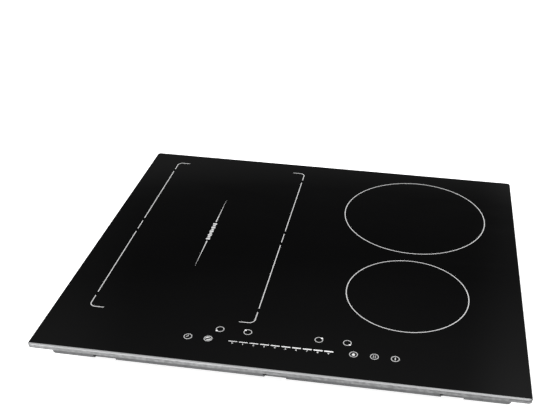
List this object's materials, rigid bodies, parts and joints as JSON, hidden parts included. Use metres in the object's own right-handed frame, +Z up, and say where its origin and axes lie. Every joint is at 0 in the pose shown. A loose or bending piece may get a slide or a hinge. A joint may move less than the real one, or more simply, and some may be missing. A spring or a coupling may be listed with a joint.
{
  "type": "electric induction cooktop",
  "caption": "Flat black glass induction hob with a metal front trim, printed cooking zones, a slider touch control and a stepped steel case that drops into a worktop cut-out.",
  "frame": {"origin": "centre of the outline of the top, at the height of the underside of the pan", "axes": "+X to the right along the front edge, +Y towards the back, +Z up through the glass"},
  "size_m": [0.59, 0.52, 0.06],
  "materials": {
    "black_glass": "gloss black glass-ceramic with grey printed marks",
    "satin_trim": "satin anodised",
    "silicone": "matt",
    "seal_foam": "closed-cell foam",
    "galvanised_steel": "zinc-coated sheet with fine spangle",
    "zinc_screws": "zinc plated",
    "clamp_steel": "zinc plated, stamped",
    "black_plastic": "fine moulded texture",
    "grey_plastic": "glass-filled, matt",
    "terminal_brass": "nickel-free brass",
    "circuit_board": "green solder mask",
    "sink_aluminium": "mill finish",
    "capacitor_case": "potted",
    "copper_winding": "enamelled copper",
    "ferrite": "sintered, matt",
    "mica": "pressed mica sheet",
    "sensor_ceramic": "glazed bead",
    "spring_steel": "bright spring strip",
    "clear_plastic": "frosted clear",
    "ribbon_insulation": "flat cable"
  },
  "bodies": {
    "case": {"air_duct_left": "black_plastic", "air_duct_right": "black_plastic", "board_screws": "zinc_screws", "buffer_chokes": "copper_winding", "cable_inlet": "black_plastic", "case_screws": "zinc_screws", "case_tray": "galvanised_steel", "clamp_screws": "zinc_screws", "clamp_sleeves": "zinc_screws", "coil_former_front_left": "grey_plastic", "coil_former_front_right": "grey_plastic", "coil_former_rear_left": "grey_plastic", "coil_former_rear_right": "grey_plastic", "coil_leads": "copper_winding", "coil_plate_left": "sink_aluminium", "coil_plate_right": "sink_aluminium", "coil_plate_screws": "zinc_screws", "coil_winding_front_left": "copper_winding", "coil_winding_front_right": "copper_winding", "coil_winding_rear_left": "copper_winding", "coil_winding_rear_right": "copper_winding", "control_ribbon": "ribbon_insulation", "electronics_tray_left": "black_plastic", "electronics_tray_right": "black_plastic", "fan_housing_left": "black_plastic", "fan_housing_right": "black_plastic", "fan_screws": "zinc_screws", "ferrite_bars": "ferrite", "filter_board": "circuit_board", "filter_choke": "copper_winding", "front_trim": "satin_trim", "glass_adhesive": "silicone", "glass_panel": "black_glass", "heat_sink_left": "sink_aluminium", "heat_sink_right": "sink_aluminium", "lower_pan": "galvanised_steel", "mica_sheets": "mica", "power_board_left": "circuit_board", "power_board_right": "circuit_board", "power_semiconductors": "capacitor_case", "relays": "black_plastic", "resonance_capacitors": "capacitor_case", "slider_light_guide": "clear_plastic", "supply_board": "circuit_board", "support_springs": "spring_steel", "temperature_sensors": "sensor_ceramic", "terminal_block": "grey_plastic", "terminal_box": "black_plastic", "terminal_screws": "terminal_brass", "touch_board": "circuit_board", "touch_carrier": "black_plastic", "touch_springs": "spring_steel", "worktop_seal": "seal_foam"},
    "front_left_clamp": {"clamp_front_left": "clamp_steel"},
    "front_right_clamp": {"clamp_front_right": "clamp_steel"},
    "rear_left_clamp": {"clamp_rear_left": "clamp_steel"},
    "rear_right_clamp": {"clamp_rear_right": "clamp_steel"},
    "left_fan_wheel": {"fan_rotor_left": "grey_plastic"},
    "right_fan_wheel": {"fan_rotor_right": "grey_plastic"},
    "terminal_flap": {"terminal_cover": "black_plastic"}
  },
  "joints": [
    {"name": "front_left_clamp_swing", "type": "hinge", "parent": "case", "child": "front_left_clamp", "pos_m": [-0.258, -0.15, 0.009], "axis": [0, 0, 1], "range_deg": [0, 90]},
    {"name": "front_right_clamp_swing", "type": "hinge", "parent": "case", "child": "front_right_clamp", "pos_m": [0.258, -0.15, 0.009], "axis": [0, 0, 1], "range_deg": [-90, 0]},
    {"name": "rear_left_clamp_swing", "type": "hinge", "parent": "case", "child": "rear_left_clamp", "pos_m": [-0.258, 0.16, 0.009], "axis": [0, 0, 1], "range_deg": [-90, 0]},
    {"name": "rear_right_clamp_swing", "type": "hinge", "parent": "case", "child": "rear_right_clamp", "pos_m": [0.258, 0.16, 0.009], "axis": [0, 0, 1], "range_deg": [0, 90]},
    {"name": "left_fan_spin", "type": "hinge", "parent": "case", "child": "left_fan_wheel", "pos_m": [-0.062, 0.15, 0.013], "axis": [0, 0, 1], "continuous": true},
    {"name": "right_fan_spin", "type": "hinge", "parent": "case", "child": "right_fan_wheel", "pos_m": [0.062, 0.15, 0.013], "axis": [0, 0, 1], "continuous": true},
    {"name": "terminal_cover_hinge", "type": "hinge", "parent": "case", "child": "terminal_flap", "pos_m": [0.12, 0.236, 0.028], "axis": [1, 0, 0], "range_deg": [0, 90]}
  ]
}
